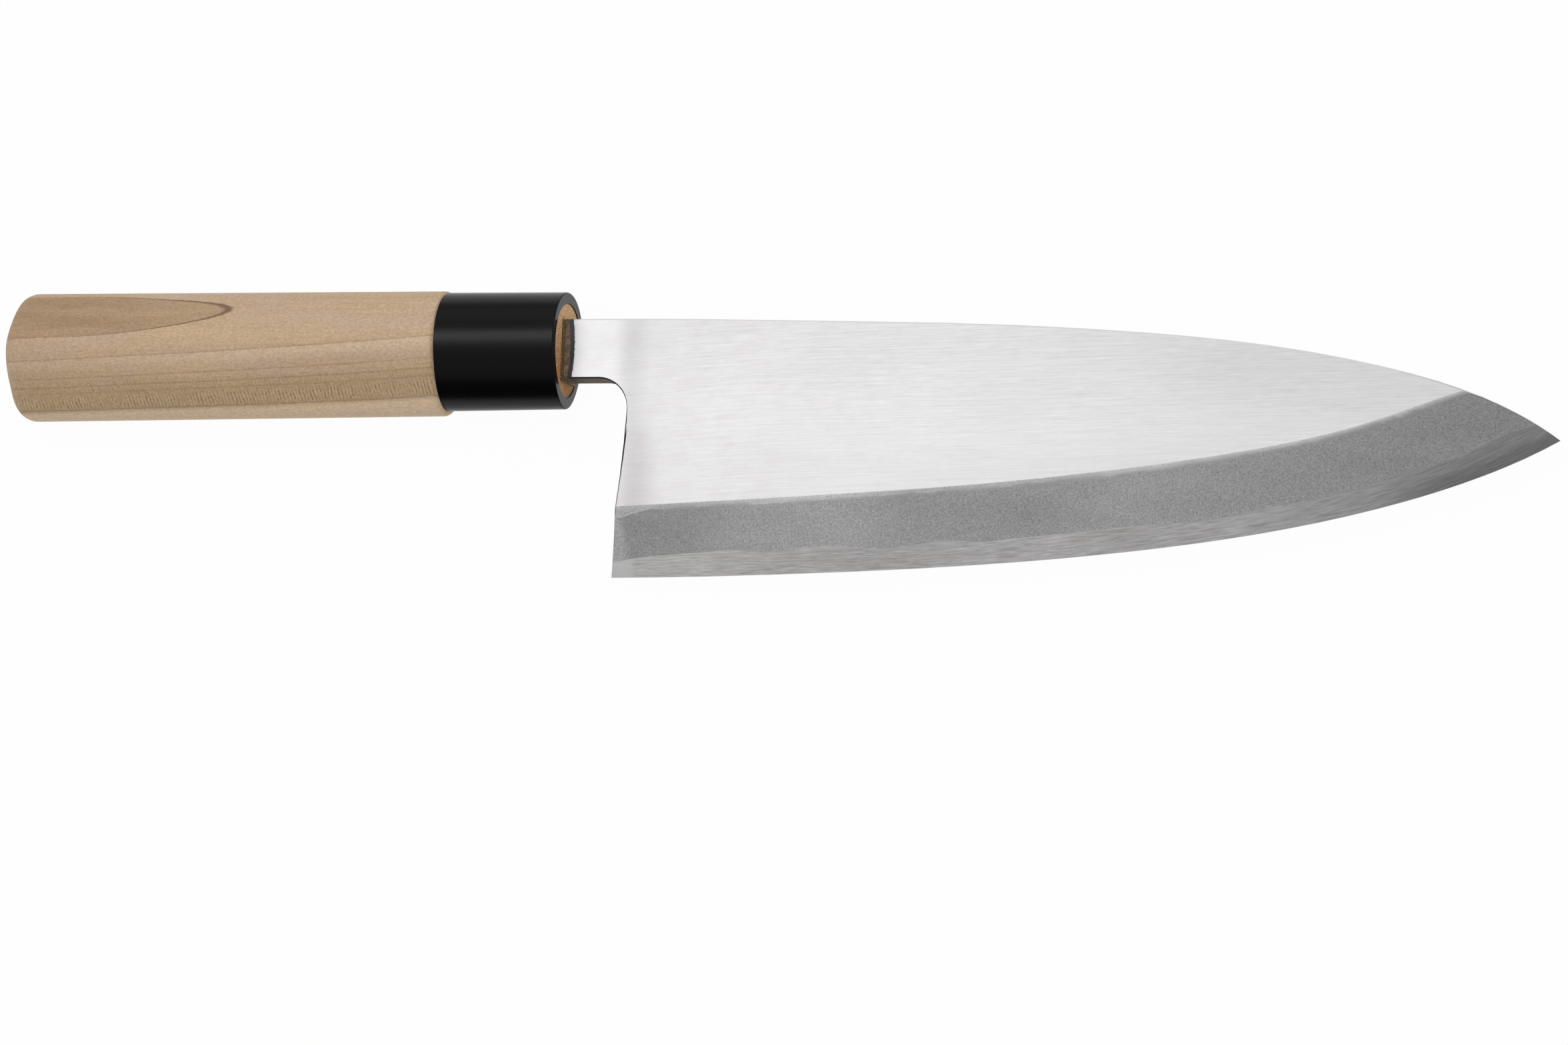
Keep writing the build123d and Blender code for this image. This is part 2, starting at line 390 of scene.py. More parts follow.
def brushedFlat(tree, spot, x, y):
    looks = ironLooks
    climbFrom, climb = looks["strokeClimb"]
    towardHeel = larger(tree, minus(tree, climbFrom, x), 0.0)
    strokePlace = inPlane(tree, x, plus(tree, y, times(tree, towardHeel, towardHeel, climb)))
    shortShare, longShare = looks["strokeShares"]
    short = times(tree, grain(tree, strokePlace, *looks["shortStrokes"]), shortShare)
    long = times(tree, grain(tree, strokePlace, *looks["longStrokes"]), longShare)
    strokes = plus(tree, short, long)
    strength = fade(tree, y, *looks["strokesDown"])
    streaks = times(tree, centred(tree, strokes), strength, fade(tree, x, *looks["strokesAlong"]))
    cloud = grain(tree, spot, *looks["cloud"])
    shade = times(tree, plus(tree, 1.0, streaks), around(tree, cloud, looks["cloudSpread"]))

    # a soft band of painted shade beside the heel
    shadeBandPlace = plus(tree, x, fade(tree, y, *looks["shadeBandDown"]))
    rear, front = (fade(tree, shadeBandPlace, *ramp) for ramp in looks["shadeBandAlong"])
    band = times(tree, rear, front, looks["bandShade"])
    shade = times(tree, shade, plus(tree, 1.0, band))
    # painted light and shade along the flat
    for ramp in looks["flatLightAlong"]:
        shade = times(tree, shade, fade(tree, x, *ramp))
    # painted shade towards the spine in the flat's front half
    spineShade = times(tree, fade(tree, x, *looks["spineShadeAlong"]), fade(tree, y, *looks["spineShadeDown"]))
    shade = times(tree, shade, easedTo(tree, spineShade, looks["spineShadeDepth"]))
    # painted light, brighter lower on the flat
    shade = times(tree, shade, fade(tree, y, *looks["flatLightDown"]))

    surface = dimmed(tree, looks["flat"], shade)
    warm = times(tree, patches(tree, spot, *looks["warmPatches"]), fade(tree, x, *looks["warmAlong"]))
    surface = mixTone(tree, warm, surface, tinted(tree, surface, looks["warm"]))
    # painted shade beside the heel, tinted mauve-grey
    mauveShade = times(tree, hump(tree, x, *looks["mauveHump"]), fade(tree, y, *looks["mauveDown"]))
    surface = mixTone(tree, mauveShade, surface, tinted(tree, surface, looks["mauveShade"]))
    return surface, strokes


def blastedBevel(tree, spot, x, below):
    looks = ironLooks
    speck = grain(tree, spot, *looks["speck"])
    patch = grain(tree, spot, *looks["patch"])
    sparkle = times(tree, patches(tree, spot, *looks["sparkles"]), looks["sparkleShare"])
    shade = around(tree, speck, looks["speckSpread"])
    shade = times(tree, shade, around(tree, patch, looks["patchSpread"]))
    shade = plus(tree, shade, sparkle)
    for shape, factor in looks["bevelHumps"]:
        shade = times(tree, shade, easedTo(tree, hump(tree, x, *shape), factor))
    # painted shade, the bevel darkening towards the tip
    surface = mixTone(tree, fade(tree, x, *looks["bevelAlong"]), looks["bevel"], looks["bevelShadedTip"])

    # the pale border, then the line along its foot
    wander = grain(tree, spot, *looks["wander"])
    width = plus(tree, looks["borderWidth"], times(tree, wander, looks["borderWander"]))
    pastBorder = minus(tree, below, width)
    frayed = plus(tree, pastBorder, times(tree, centred(tree, speck), looks["borderFray"]))
    border = times(tree, fade(tree, frayed, *looks["borderEdge"]), looks["borderShare"])
    surface = mixTone(tree, border, surface, looks["bevelLight"])
    broken = times(tree, patches(tree, spot, *looks["footPatches"]), fade(tree, x, *looks["footAlong"]))
    foot = times(tree, hump(tree, pastBorder, *looks["footHump"]), broken, looks["footShare"])
    surface = mixTone(tree, foot, surface, looks["bevelBright"])

    # the border widens to a wedge at the heel, with a line along its foot too
    depth, heelFoot, slope, swing = looks["wedge"]
    leaning = times(tree, plus(tree, x, -heelFoot), slope)
    wedgeFoot = plus(tree, depth, leaning, times(tree, centred(tree, wander), swing))
    pastWedge = minus(tree, below, wedgeFoot)
    nearHeel = fade(tree, x, *looks["wedgeAlong"])
    wedge = times(tree, fade(tree, pastWedge, *looks["wedgeEdge"]), nearHeel, looks["wedgeShare"])
    surface = mixTone(tree, wedge, surface, looks["bevelLight"])
    line = times(tree, hump(tree, pastWedge, *looks["wedgeHump"]), nearHeel, looks["wedgeLineShare"])
    surface = mixTone(tree, line, surface, looks["bevelBright"])
    stripPlace = plus(tree, x, times(tree, wander, looks["stripWander"]))
    strip = times(tree, fade(tree, stripPlace, *looks["stripAlong"]), looks["stripShare"])
    surface = mixTone(tree, strip, surface, looks["bevelLight"])
    return dimmed(tree, surface, shade), plus(tree, speck, patch)


def forgeScale(tree, spot, scaleGrain, scaleFine):
    looks = ironLooks
    rust = times(tree, patches(tree, spot, *looks["rustPatches"]), looks["rustShare"])
    surface = mixTone(tree, rust, scaleTone(tree, scaleGrain), looks["rust"])
    return dimmed(tree, surface, around(tree, scaleFine, looks["scaleSpread"]))


def heelShadow(tree, x, y, chamfer, front):
    # the chamfer is painted as a dark line, a painted shadow round the choil; down the heel it turns
    # away from the camera, so there the painted line goes on beside it on the flat
    looks = ironLooks
    level, lean, curve = looks["heelLine"]
    fromHeel = minus(tree, x, plus(tree, level, times(tree, y, lean), times(tree, y, y, curve)))
    aboveFoot = fade(tree, y, *looks["heelLineFoot"])
    line = times(tree, fade(tree, fromHeel, *looks["heelLineEdge"]), aboveFoot)
    line = times(tree, line, fade(tree, y, *looks["heelLineTop"]), front)
    line = times(tree, line, fade(tree, y, *looks["heelLineDown"]))
    return larger(tree, times(tree, chamfer, aboveFoot), line)


def heatColours(tree, spot, x, y):
    # shares of violet, red and brown, from the border towards the handle
    looks = ironLooks
    reach, curve = looks["heatReach"]
    uneven = times(tree, centred(tree, grain(tree, spot, *looks["heatWander"])), looks["heatSwing"])
    inside = minus(tree, plus(tree, reach, uneven, times(tree, y, y, curve)), x)
    return [fade(tree, inside, *looks[edge]) for edge in ("violetEdge", "redEdge", "brownEdge")]


def ironFinish():
    looks = ironLooks
    made, tree, shader = startFinish("forged soft iron")
    spot, x, y, z = place(tree)
    nx, ny, nz = facing(tree)
    front = fade(tree, nz, *looks["frontFaces"])
    onBevel = times(tree, front, fade(tree, ny, *looks["bevelFaces"]))
    flat, strokes = brushedFlat(tree, spot, x, y)
    bevel, blasting = blastedBevel(tree, spot, x, belowShoulder(tree, x, y, z))
    surface = mixTone(tree, onBevel, flat, bevel)

    # scale under the neck, round the choil and on the heel; the spine is ground, with a painted highlight
    scaleGrain = grain(tree, spot, *looks["scaleGrain"])
    scaleFine = grain(tree, spot, *looks["scaleFine"])
    scaled = forgeScale(tree, spot, scaleGrain, scaleFine)
    under = times(tree, sideways(tree, nz), fade(tree, ny, *looks["underFaces"]))
    surface = mixTone(tree, under, surface, tinted(tree, scaled, looks["underNeck"]))
    chamfered = hump(tree, nz, *looks["chamferHump"])
    # a painted highlight on the spine's chamfer
    spineHighlightShare = times(tree, chamfered, fade(tree, ny, *looks["spineFaces"]))
    spineHighlightShare = times(tree, spineHighlightShare, fade(tree, x, *looks["spineAlong"]))
    surface = mixTone(tree, spineHighlightShare, surface, looks["spineHighlight"])
    heelSide = times(tree, chamfered, fade(tree, plus(tree, nx, ny), *looks["heelFaces"]))
    shadow = heelShadow(tree, x, y, heelSide, front)
    surface = mixTone(tree, shadow, surface, looks["heelShadowTone"])

    # heat colours where the neck leaves the handle
    violet, red, brown = heatColours(tree, spot, x, y)
    blued = mixTone(tree, fade(tree, y, *looks["heatBlueDown"]), looks["heatBlack"], looks["heatBlue"])
    blued = dimmed(tree, blued, around(tree, scaleFine, looks["violetSpread"]))
    surface = mixTone(tree, violet, surface, blued)
    surface = mixTone(tree, red, surface, looks["heatRed"])
    burnt = dimmed(tree, scaled, fade(tree, ny, *looks["burntFaces"]))
    surface = mixTone(tree, brown, surface, burnt)
    feed(tree, shader.inputs["Base Color"], surface)

    crusted = larger(tree, larger(tree, under, violet), shadow)
    metal = mixNumber(tree, onBevel, 1.0, looks["bevelMetal"])
    feed(tree, shader.inputs["Metallic"], mixNumber(tree, crusted, metal, looks["scaleMetal"]))
    smooth = varied(tree, looks["flatRoughness"], strokes, looks["flatRoughnessSpread"])
    smooth = plus(tree, smooth, times(tree, onBevel, looks["bevelRoughness"] - looks["flatRoughness"]))
    smooth = larger(tree, smooth, times(tree, crusted, looks["scaleRoughness"]))
    feed(tree, shader.inputs["Roughness"], smooth)
    brushed = times(tree, strokes, minus(tree, 1.0, onBevel), looks["strokeHeight"])
    blasted = times(tree, blasting, onBevel, looks["blastHeight"])
    crust = times(tree, plus(tree, scaleGrain, scaleFine), crusted, looks["scaleHeight"])
    height = plus(tree, brushed, blasted, crust)
    feed(tree, shader.inputs["Normal"], relief(tree, height, looks["reliefDepth"]))
    return made


# hard steel: honed to the edge in front, ground hollow inside a honed rim at the back

steelLooks = {
    # painted light and shade: the steel bright at its heel end and darker towards the tip
    "heel": tone(250, 249, 247),
    "middle": tone(210, 209, 209),
    "tip": tone(142, 141, 141),
    "middleAlong": (15, 90),
    "tipAlong": (142, 206),
    "heelLightAlong": (17.5, 14.5, 1.0, 1.42),
    # places along the steel that are darker or brighter, and how much
    "humps": (((148, 12, 32), 0.89), ((98, 8, 26), 1.07)),
    "pink": tone(252, 248, 248),
    "pinkPatches": (((22, 1.6, 1), 2, 0.5), (0.42, 0.62)),
    "pinkAlong": (180, 130),
    "metal": 0.85,
    "roughness": 0.48,
    "roughnessSpread": 0.1,

    "fineStreaks": ((5.0, 0.26, 1), 2, 0.7),
    "broadStreaks": ((30, 0.80, 1), 3, 0.6),
    "streakShares": (0.72, 0.28),
    "streakSpread": 1.6,
    "darkLimits": (0.50, 0.66),
    "darkShare": 0.10,
    # the edge's depth below the shoulder level with home, and its growth along the blade
    "edgeDepth": (15.6, 0.0205),
    "edgeFade": (1.8, 0.2),
    "edgeAlong": (25, 60),
    "edgeShare": 0.20,
    # near the tip the edge climbs in a curve: a place on it, its slope there and its bend
    "edgeCurve": (190.0, -33.15, 0.294, 0.003),
    "tipFade": (4.8, 0.8),
    "tipFadeAlong": (176, 200),
    "tipShade": 0.74,

    "backFaces": (-0.3, -0.6),
    "rim": tone(214, 213, 213),
    "rimSpread": 0.30,
    "rimRoughness": 0.30,
    "hollow": tone(196, 196, 197),
    "hollowSpread": 0.34,
    "hollowRoughness": 0.42,
    "hollowDepth": (-4.29, -4.22),
    "crossMarks": ((0.30, 26, 1), 2, 0.6, 8),
    "scaleGrain": ((0.9, 0.9, 0.9), 4, 0.65),
    "heelFaces": (-0.3, -0.6),
    "reliefDepth": 0.006,
}


def honedFront(tree, run, x, y, below, back, streaks, broad):
    looks = steelLooks
    # painted light and shade: brighter at the heel end, darker towards the tip
    surface = mixTone(tree, fade(tree, x, *looks["middleAlong"]), looks["heel"], looks["middle"])
    surface = mixTone(tree, fade(tree, x, *looks["tipAlong"]), surface, looks["tip"])
    for shape, factor in looks["humps"]:
        surface = dimmed(tree, surface, easedTo(tree, hump(tree, x, *shape), factor))
    pink = times(tree, patches(tree, run, *looks["pinkPatches"]), fade(tree, x, *looks["pinkAlong"]))
    surface = mixTone(tree, pink, surface, tinted(tree, surface, looks["pink"]))

    # darker streaks, and darker towards the edge, first by depth and near the tip by its curve
    depth, growth = looks["edgeDepth"]
    toEdge = minus(tree, plus(tree, depth, times(tree, x, growth)), below)
    nearEdge = times(tree, fade(tree, toEdge, *looks["edgeFade"]), fade(tree, x, *looks["edgeAlong"]))
    nearEdge = times(tree, nearEdge, minus(tree, 1.0, back), looks["edgeShare"])
    dark = times(tree, fade(tree, broad, *looks["darkLimits"]), looks["darkShare"])
    shade = minus(tree, around(tree, streaks, looks["streakSpread"]), plus(tree, dark, nearEdge))
    bendFrom, bendHeight, slope, bend = looks["edgeCurve"]
    pastBend = plus(tree, x, -bendFrom)
    edgeLine = plus(tree, bendHeight, times(tree, pastBend, slope), times(tree, pastBend, pastBend, bend))
    aboveEdge = fade(tree, minus(tree, y, edgeLine), *looks["tipFade"])
    lowAtTip = times(tree, fade(tree, x, *looks["tipFadeAlong"]), aboveEdge)
    shade = times(tree, shade, easedTo(tree, lowAtTip, looks["tipShade"]))
    # painted light at the heel end
    return dimmed(tree, surface, times(tree, shade, fade(tree, x, *looks["heelLightAlong"])))


def steelFinish():
    looks = steelLooks
    made, tree, shader = startFinish("honed hard steel")
    spot, x, y, z = place(tree)
    nx, _, nz = facing(tree)
    back = fade(tree, nz, *looks["backFaces"])

    # in front the streaks run with the edge, so they follow the depth below the shoulder
    below = belowShoulder(tree, x, y, z)
    run = inPlane(tree, x, mixNumber(tree, back, below, y))
    broad = grain(tree, run, *looks["broadStreaks"])
    fineShare, broadShare = looks["streakShares"]
    fine = times(tree, grain(tree, run, *looks["fineStreaks"]), fineShare)
    streaks = plus(tree, fine, times(tree, broad, broadShare))
    surface = honedFront(tree, run, x, y, below, back, streaks, broad)

    # the hollow keeps its cross grinding marks, and the heel's end has scale
    hollow = times(tree, back, fade(tree, z, *looks["hollowDepth"]))
    cross = grain(tree, spot, *looks["crossMarks"])
    rim = dimmed(tree, looks["rim"], around(tree, streaks, looks["rimSpread"]))
    ground = dimmed(tree, looks["hollow"], around(tree, cross, looks["hollowSpread"]))
    surface = mixTone(tree, back, surface, mixTone(tree, hollow, rim, ground))
    heelEnd = times(tree, sideways(tree, nz), fade(tree, nx, *looks["heelFaces"]))
    surface = mixTone(tree, heelEnd, surface, scaleTone(tree, grain(tree, spot, *looks["scaleGrain"])))

    feed(tree, shader.inputs["Base Color"], surface)
    feed(tree, shader.inputs["Metallic"], mixNumber(tree, back, looks["metal"], 1.0))
    smooth = varied(tree, looks["roughness"], streaks, looks["roughnessSpread"])
    smoothBack = mixNumber(tree, hollow, looks["rimRoughness"], looks["hollowRoughness"])
    feed(tree, shader.inputs["Roughness"], mixNumber(tree, back, smooth, smoothBack))
    marks = mixNumber(tree, hollow, streaks, cross)
    feed(tree, shader.inputs["Normal"], relief(tree, marks, looks["reliefDepth"]))
    return made


dress("blade_iron", ironFinish())
dress("edge_steel", steelFinish())
print("blade finished")


# the handle's wood: growth lines, ray flecks, a pointed loop near the butt, end grain

woodLooks = {
    "pale": tone(216, 187, 151),
    "pink": tone(209, 182, 160),
    "deep": tone(193, 164, 131),
    "fibre": ((26, 0.8, 0.9), 4, 0.6),
    "fibreLimits": (0.35, 0.72),
    "fibreShare": 0.45,
    "pinkPatches": (((22, 6, 7), 2, 0.5), (0.40, 0.62)),
    "pinkShare": 0.65,
    "deepPatches": (((60, 9, 9), 2, 0.5), (0.42, 0.66)),
    "deepShare": 0.35,
    "deepAlong": (-90, -150, 0.0, 0.7),
    "pore": ((0.80, 0.45, 0.45), 3, 0.7),
    "poreSpread": 0.95,

    # growth lines climb behind the axis, wander, and fray over short lengths
    "climbBehind": 0.35,
    "wander": ((26, 5, 5), 2, 0.5),
    "wanderSwing": (-0.05, 0.4),
    "fray": ((1.6, 0.6, 0.6), 2, 0.6),
    "fraySwing": 0.35,
    # from this far behind home they climb to the ferrule, more so with the height, and bend up
    "slopeFrom": 80.0,
    "slope": (0.047, 0.0019),
    "slopeBend": -0.00018,
    # they cross that place at these heights, with these strengths
    "growthLines": ((-1.05, 0.34), (-5.5, 0.32), (-7.5, 0.38), (-8.9, 0.28), (-12.6, 0.50)),
    "lineHalfWidth": 0.07,
    "lineSoft": 0.16,
    "line": tone(150, 120, 90),
    # a soft shade on the upper side of each line
    "shadeAbove": 1.5,
    "shadeEdge": 0.05,
    "shadeShare": 0.12,

    # the pale band under the line that crosses the middle
    "paleBand": tone(226, 200, 171),
    "paleBandEdges": ((-4.6, -1.9), (-0.95, -1.35)),
    "paleBandAlong": (-120, -70, 0.30, 0.62),

    # ray flecks low on the flank, in a darker band, with the sapwood under them
    "fleckEdges": ((-12.5, -12.1), (-9.2, -10.4)),
    "fleckBand": tone(193, 164, 124),
    "fleckBandEdges": ((-5.0, -10.5), (-12.6, -12.4)),
    "fleckBandShare": 0.75,
    "fleck": tone(120, 86, 54),
    "fleckPale": tone(216, 194, 164),
    # the step from one fleck to the next, their lean, and the noise and angle of their wander
    "fleckStep": 0.85,
    "fleckLean": 0.12,
    "fleckWander": ((2.6, 1.8, 2.6), 2, 0.6),
    "fleckSwing": 7.0,
    "fleckDark": (0.0, 0.9),
    "fleckLight": (-0.1, -0.9),
    "fleckPatches": (((0.9, 1.1, 1.1), 2, 0.6), (0.42, 0.56)),
    "fleckClusters": (((5, 4, 6), 2, 0.5), (0.36, 0.56)),
    "fleckOutside": 0.30,
    "fleckShare": 0.52,
    "fleckPaleShare": 0.55,
    # fainter flecks above them
    "upperEdges": ((-10.3, -9.3), (-4.5, -7.5)),
    "upperShare": 0.20,
    "sap": tone(236, 208, 175),
    "sapEdge": (-12.6, -13.6),

    # the loop: its tip, and how far its middle line sinks towards the butt over what length
    "loop": tone(166, 135, 100),
    "loopPale": tone(196, 166, 134),
    "loopRim": tone(124, 96, 72),
    "loopTip": (-78.4, 8.9),
    "loopSink": (2.2, 22.0),
    "loopWander": 0.5,
    "loopFray": 4.0,
    # its spread narrows towards the butt, and is wider above its middle line
    "loopSpread": (25, 55, 0.67, 0.45),
    "loopWider": (-0.3, 0.3, 1.0, 1.5),
    "loopEdge": (0.0, 3.0),
    "loopBack": (6, 34, 0.42, 0.72),
    "loopPatches": (((28, 2.4, 3.0), 3, 0.6), (0.46, 0.66)),
    "loopPaleShare": 0.55,
    "loopRimEdges": ((-0.8, 0.6), (3.2, 1.0)),
    "loopRimBack": (42, 14, 0.40, 0.90),

    # end grain on the tenon, inside the ferrule, and fainter on the butt
    "endGrain": tone(244, 200, 146),
    "endRed": tone(222, 160, 108),
    "endSpeck": tone(150, 96, 56),
    "endRedNoise": ((2, 1.6, 1.1), 3, 0.6),
    "endRedDown": (9, -9, 0.9, 1.9),
    "endRedLimits": (0.55, 0.95),
    "endSpecks": (((2.0, 0.35, 0.35), 3, 0.6), (0.50, 0.66)),
    "tenonFaces": (0.6, 0.8),
    "tenonAlong": (-2.0, -1.0),
    "buttFaces": (-0.6, -0.85),
    "buttAlong": (-120.0, -125.0),
    "buttShare": 0.30,

    "roughness": 0.62,
    "roughnessSpread": 0.1,
    "gloss": 0.35,
    "fibreHeight": 0.6,
    "reliefDepth": 0.02,
}


def growthRings(tree, spot, x, y, z):
    # ring numbers the growth lines: it rises with the height and follows their slope
    looks = woodLooks
    height = plus(tree, y, times(tree, calc(tree, "MINIMUM", z, 0.0), looks["climbBehind"]))
    least, swing = looks["wanderSwing"]
    wander = plus(tree, least, times(tree, grain(tree, spot, *looks["wander"]), swing))
    level, steeper = looks["slope"]
    slope = plus(tree, level, times(tree, height, steeper))
    past = plus(tree, x, looks["slopeFrom"])
    ring = plus(tree, minus(tree, height, times(tree, past, slope)), wander)
    bend = larger(tree, past, 0.0)
    return height, wander, plus(tree, ring, times(tree, bend, bend, looks["slopeBend"]))


def within(tree, value, edges):
    # 1 between the two ramps
    first, second = edges
    return times(tree, fade(tree, value, *first), fade(tree, value, *second))


def rayFlecks(tree, spot, x, y, ring, surface):
    looks = woodLooks
    zone = within(tree, ring, looks["fleckEdges"])
    band = times(tree, within(tree, ring, looks["fleckBandEdges"]), looks["fleckBandShare"])
    surface = mixTone(tree, band, surface, looks["fleckBand"])

    # short strokes across the grain, one each step, broken up by patches
    lean = times(tree, y, looks["fleckLean"])
    bend = times(tree, grain(tree, spot, *looks["fleckWander"]), looks["fleckSwing"])
    count = times(tree, plus(tree, x, lean), 2 * math.pi / looks["fleckStep"])
    hatch = calc(tree, "SINE", plus(tree, count, bend))
    strokes = fade(tree, hatch, *looks["fleckDark"])
    strokes = times(tree, strokes, patches(tree, spot, *looks["fleckPatches"]))
    cluster = patches(tree, spot, *looks["fleckClusters"])
    outside = looks["fleckOutside"]
    marks = times(tree, strokes, zone, plus(tree, outside, times(tree, cluster, 1 - outside)))
    surface = mixTone(tree, times(tree, marks, looks["fleckShare"]), surface, looks["fleck"])
    between = times(tree, fade(tree, hatch, *looks["fleckLight"]), zone, cluster)
    surface = mixTone(tree, times(tree, between, looks["fleckPaleShare"]), surface, looks["fleckPale"])
    upper = within(tree, ring, looks["upperEdges"])
    surface = mixTone(tree, times(tree, strokes, upper, looks["upperShare"]), surface, looks["fleck"])
    return mixTone(tree, fade(tree, ring, *looks["sapEdge"]), surface, looks["sap"])


def growthLines(tree, ring, ragged, surface):
    looks = woodLooks
    edge = looks["shadeEdge"]
    for middle, strength in looks["growthLines"]:
        near = hump(tree, ragged, middle, looks["lineHalfWidth"], looks["lineSoft"])
        surface = mixTone(tree, times(tree, near, strength), surface, looks["line"])
        sides = ((middle + looks["shadeAbove"], middle), (middle - edge, middle + edge))
        above = times(tree, within(tree, ring, sides), looks["shadeShare"])
        surface = mixTone(tree, above, surface, looks["deep"])
    return surface


def pointedLoop(tree, spot, x, height, wander, fray, surface):
    looks = woodLooks
    tipX, tipY = looks["loopTip"]
    sink, sinkLength = looks["loopSink"]
    runBack = minus(tree, tipX, x)
    left = calc(tree, "EXPONENT", times(tree, larger(tree, runBack, 0.0), -1 / sinkLength))
    middleLine = plus(tree, tipY - sink, times(tree, left, sink))
    off = plus(tree, minus(tree, height, middleLine), times(tree, wander, looks["loopWander"]))
    spread = times(tree, fade(tree, runBack, *looks["loopSpread"]), fade(tree, off, *looks["loopWider"]))
    frayed = plus(tree, runBack, times(tree, fray, looks["loopFray"]))
    depth = minus(tree, frayed, calc(tree, "DIVIDE", times(tree, off, off), spread))
    inside = fade(tree, depth, *looks["loopEdge"])
    dark = times(tree, inside, fade(tree, runBack, *looks["loopBack"]))
    surface = mixTone(tree, dark, surface, looks["loop"])
    pale = times(tree, inside, patches(tree, spot, *looks["loopPatches"]), looks["loopPaleShare"])
    surface = mixTone(tree, pale, surface, looks["loopPale"])
    rim = within(tree, depth, looks["loopRimEdges"])
    rim = times(tree, rim, fade(tree, runBack, *looks["loopRimBack"]))
    return mixTone(tree, rim, surface, looks["loopRim"])


def endGrain(tree, spot, x, y, nx, surface):
    looks = woodLooks
    redder = times(tree, grain(tree, spot, *looks["endRedNoise"]), fade(tree, y, *looks["endRedDown"]))
    ends = mixTone(tree, fade(tree, redder, *looks["endRedLimits"]), looks["endGrain"], looks["endRed"])
    ends = mixTone(tree, patches(tree, spot, *looks["endSpecks"]), ends, looks["endSpeck"])
    tenon = times(tree, fade(tree, nx, *looks["tenonFaces"]), fade(tree, x, *looks["tenonAlong"]))
    butt = times(tree, fade(tree, nx, *looks["buttFaces"]), fade(tree, x, *looks["buttAlong"]))
    surface = mixTone(tree, tenon, surface, ends)
    return mixTone(tree, times(tree, butt, looks["buttShare"]), surface, ends)


def woodFinish():
    looks = woodLooks
    made, tree, shader = startFinish("pale grained wood")
    spot, x, y, z = place(tree)
    nx = facing(tree)[0]
    height, wander, ring = growthRings(tree, spot, x, y, z)
    fray = times(tree, centred(tree, grain(tree, spot, *looks["fray"])), looks["fraySwing"])
    pore = grain(tree, spot, *looks["pore"])
    fibre = grain(tree, spot, *looks["fibre"])

    deeper = times(tree, fade(tree, fibre, *looks["fibreLimits"]), looks["fibreShare"])
    surface = mixTone(tree, deeper, looks["pale"], looks["deep"])
    pink = times(tree, patches(tree, spot, *looks["pinkPatches"]), looks["pinkShare"])
    surface = mixTone(tree, pink, surface, looks["pink"])
    deep = times(tree, patches(tree, spot, *looks["deepPatches"]), looks["deepShare"])
    surface = mixTone(tree, deep, surface, looks["deep"])
    surface = mixTone(tree, fade(tree, x, *looks["deepAlong"]), surface, looks["deep"])
    band = within(tree, ring, looks["paleBandEdges"])
    band = times(tree, band, fade(tree, x, *looks["paleBandAlong"]))
    surface = mixTone(tree, band, surface, looks["paleBand"])
    surface = rayFlecks(tree, spot, x, y, ring, surface)
    surface = growthLines(tree, ring, plus(tree, ring, fray), surface)
    surface = pointedLoop(tree, spot, x, height, wander, fray, surface)
    surface = dimmed(tree, surface, around(tree, pore, looks["poreSpread"]))
    surface = endGrain(tree, spot, x, y, nx, surface)

    feed(tree, shader.inputs["Base Color"], surface)
    smooth = varied(tree, looks["roughness"], fibre, looks["roughnessSpread"])
    feed(tree, shader.inputs["Roughness"], smooth)
    shader.inputs["Specular IOR Level"].default_value = looks["gloss"]
    rise = plus(tree, pore, times(tree, fibre, looks["fibreHeight"]))
    feed(tree, shader.inputs["Normal"], relief(tree, rise, looks["reliefDepth"]))
    return made


# the resin round the tang, and the thin line of adhesive in the ferrule, with a painted gap shadow

resinLooks = {
    "brown": tone(96, 82, 62),
    "lumps": ((0.5, 0.5, 0.5), 3, 0.6),
    "lumpSpread": 0.8,
    "speck": tone(176, 164, 84),
    "specks": (((0.45, 0.30, 0.45), 2, 0.5), (0.58, 0.66)),
    # above the neck it is thin, and the wood shows through
    "dusty": tone(222, 181, 131),
    "dustyDown": (6.3, 6.8, 0.0, 0.8),
    "roughness": 0.42,
    "reliefDepth": 0.02,
}


def resinFinish():
    looks = resinLooks
    made, tree, shader = startFinish("cured amber resin")
    spot, _, y, _ = place(tree)
    lumps = grain(tree, spot, *looks["lumps"])
    surface = dimmed(tree, looks["brown"], around(tree, lumps, looks["lumpSpread"]))
    surface = mixTone(tree, patches(tree, spot, *looks["specks"]), surface, looks["speck"])
    surface = mixTone(tree, fade(tree, y, *looks["dustyDown"]), surface, looks["dusty"])
    feed(tree, shader.inputs["Base Color"], surface)
    shader.inputs["Roughness"].default_value = looks["roughness"]
    feed(tree, shader.inputs["Normal"], relief(tree, lumps, looks["reliefDepth"]))
    return made


glueLooks = {
    # the dark tone is partly the adhesive's own and partly painted shadow of the gap round the tenon
    "dark": tone(38, 32, 28),
    "brown": tone(96, 82, 62),
    "lumps": ((0.7, 0.4, 0.4), 3, 0.6),
    "lumpLimits": (0.40, 0.62),
    "roughness": 0.5,
    "reliefDepth": 0.02,
}


def glueFinish():
    looks = glueLooks
    made, tree, shader = startFinish("adhesive line with painted gap shadow")
    lumps = grain(tree, place(tree)[0], *looks["lumps"])
    surface = mixTone(tree, fade(tree, lumps, *looks["lumpLimits"]), looks["dark"], looks["brown"])
    feed(tree, shader.inputs["Base Color"], surface)
    shader.inputs["Roughness"].default_value = looks["roughness"]
    feed(tree, shader.inputs["Normal"], relief(tree, lumps, looks["reliefDepth"]))
    return made


# the ferrule: satin black, smoother on its front face

